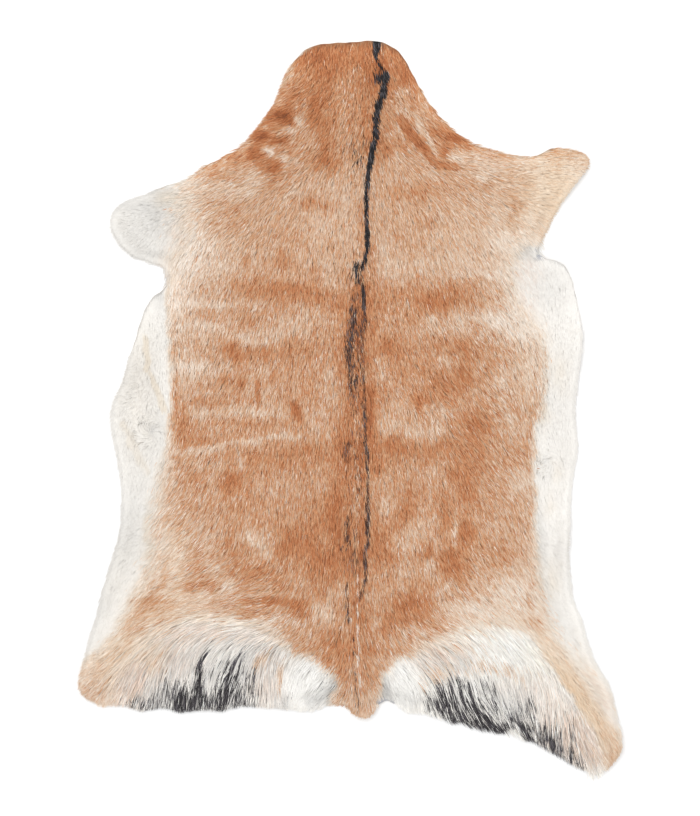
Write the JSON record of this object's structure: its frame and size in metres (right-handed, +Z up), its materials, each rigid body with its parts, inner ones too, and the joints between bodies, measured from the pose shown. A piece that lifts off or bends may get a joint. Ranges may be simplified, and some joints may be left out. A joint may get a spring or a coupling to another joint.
{
  "type": "goatskin rug",
  "caption": "Whole goat hide tanned with its hair on, tan back, pale flanks and a dark spine line, laid flat as a floor rug or throw.",
  "frame": {"origin": "on the floor, under the middle of the hide's bounding box", "axes": "+Y from the tail to the neck, +X to the right of the hide seen from above, +Z up out of the hair side"},
  "size_m": [0.6996, 0.9502, 0.0098],
  "materials": {
    "goat_hair": "tan and cream goat hair, combed flat, with a dark line along the spine",
    "tanned_skin": "pale suede flesh side of the tanned hide"
  },
  "bodies": {
    "root": {"goatskin": "goat_hair"}
  },
  "joints": []
}
